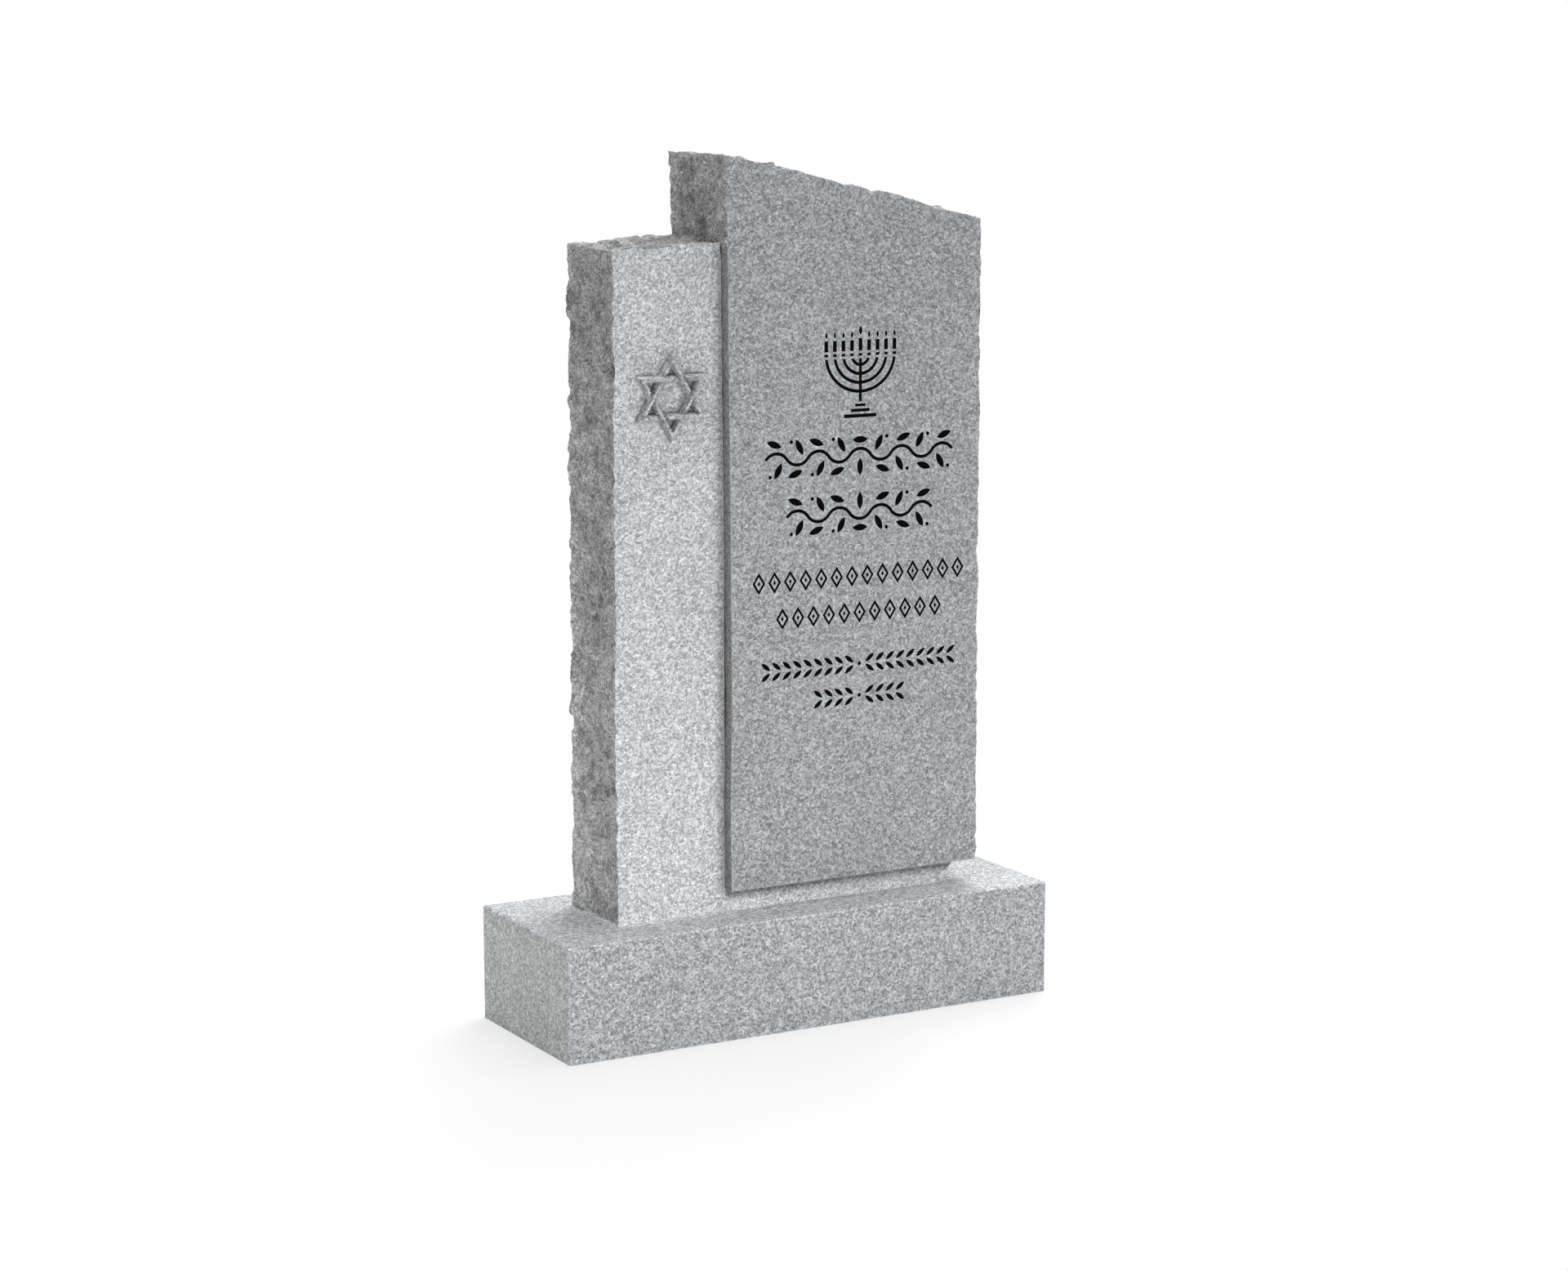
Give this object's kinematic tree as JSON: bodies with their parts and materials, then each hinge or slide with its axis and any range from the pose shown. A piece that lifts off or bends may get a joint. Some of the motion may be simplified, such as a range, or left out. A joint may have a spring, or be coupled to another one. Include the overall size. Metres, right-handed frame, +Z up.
{
  "type": "upright headstone",
  "caption": "Grey granite headstone: a base, a lower wing with a raised star, and a tall sloping tablet with an engraved menorah and ornament.",
  "frame": {"origin": "on the ground, under the middle of the base stone", "axes": "+Z up, front face towards -Y, the lower wing at -X and the tall tablet at +X"},
  "size_m": [0.711, 0.255, 1.123],
  "materials": {
    "sawn_granite": "matte",
    "frosted_granite": "matte",
    "steeled_granite": "matte",
    "carved_granite": "matte",
    "black_filling": "matte"
  },
  "bodies": {
    "root": {"base_stone": "sawn_granite", "wing_stone": "frosted_granite", "tablet": "steeled_granite", "star_upright_triangle": "carved_granite", "star_inverted_triangle": "carved_granite", "menorah_flames": "black_filling", "menorah_candles": "black_filling", "menorah_cups": "black_filling", "menorah_arm_1": "black_filling", "menorah_arm_2": "black_filling", "menorah_arm_3": "black_filling", "menorah_arm_4": "black_filling", "menorah_stem": "black_filling", "menorah_foot": "black_filling", "upper_vine_stem": "black_filling", "upper_vine_leaves": "black_filling", "lower_vine_stem": "black_filling", "lower_vine_leaves": "black_filling", "upper_lozenge_row": "black_filling", "lower_lozenge_row": "black_filling", "upper_sprig_row": "black_filling", "lower_sprig_row": "black_filling"}
  },
  "joints": []
}
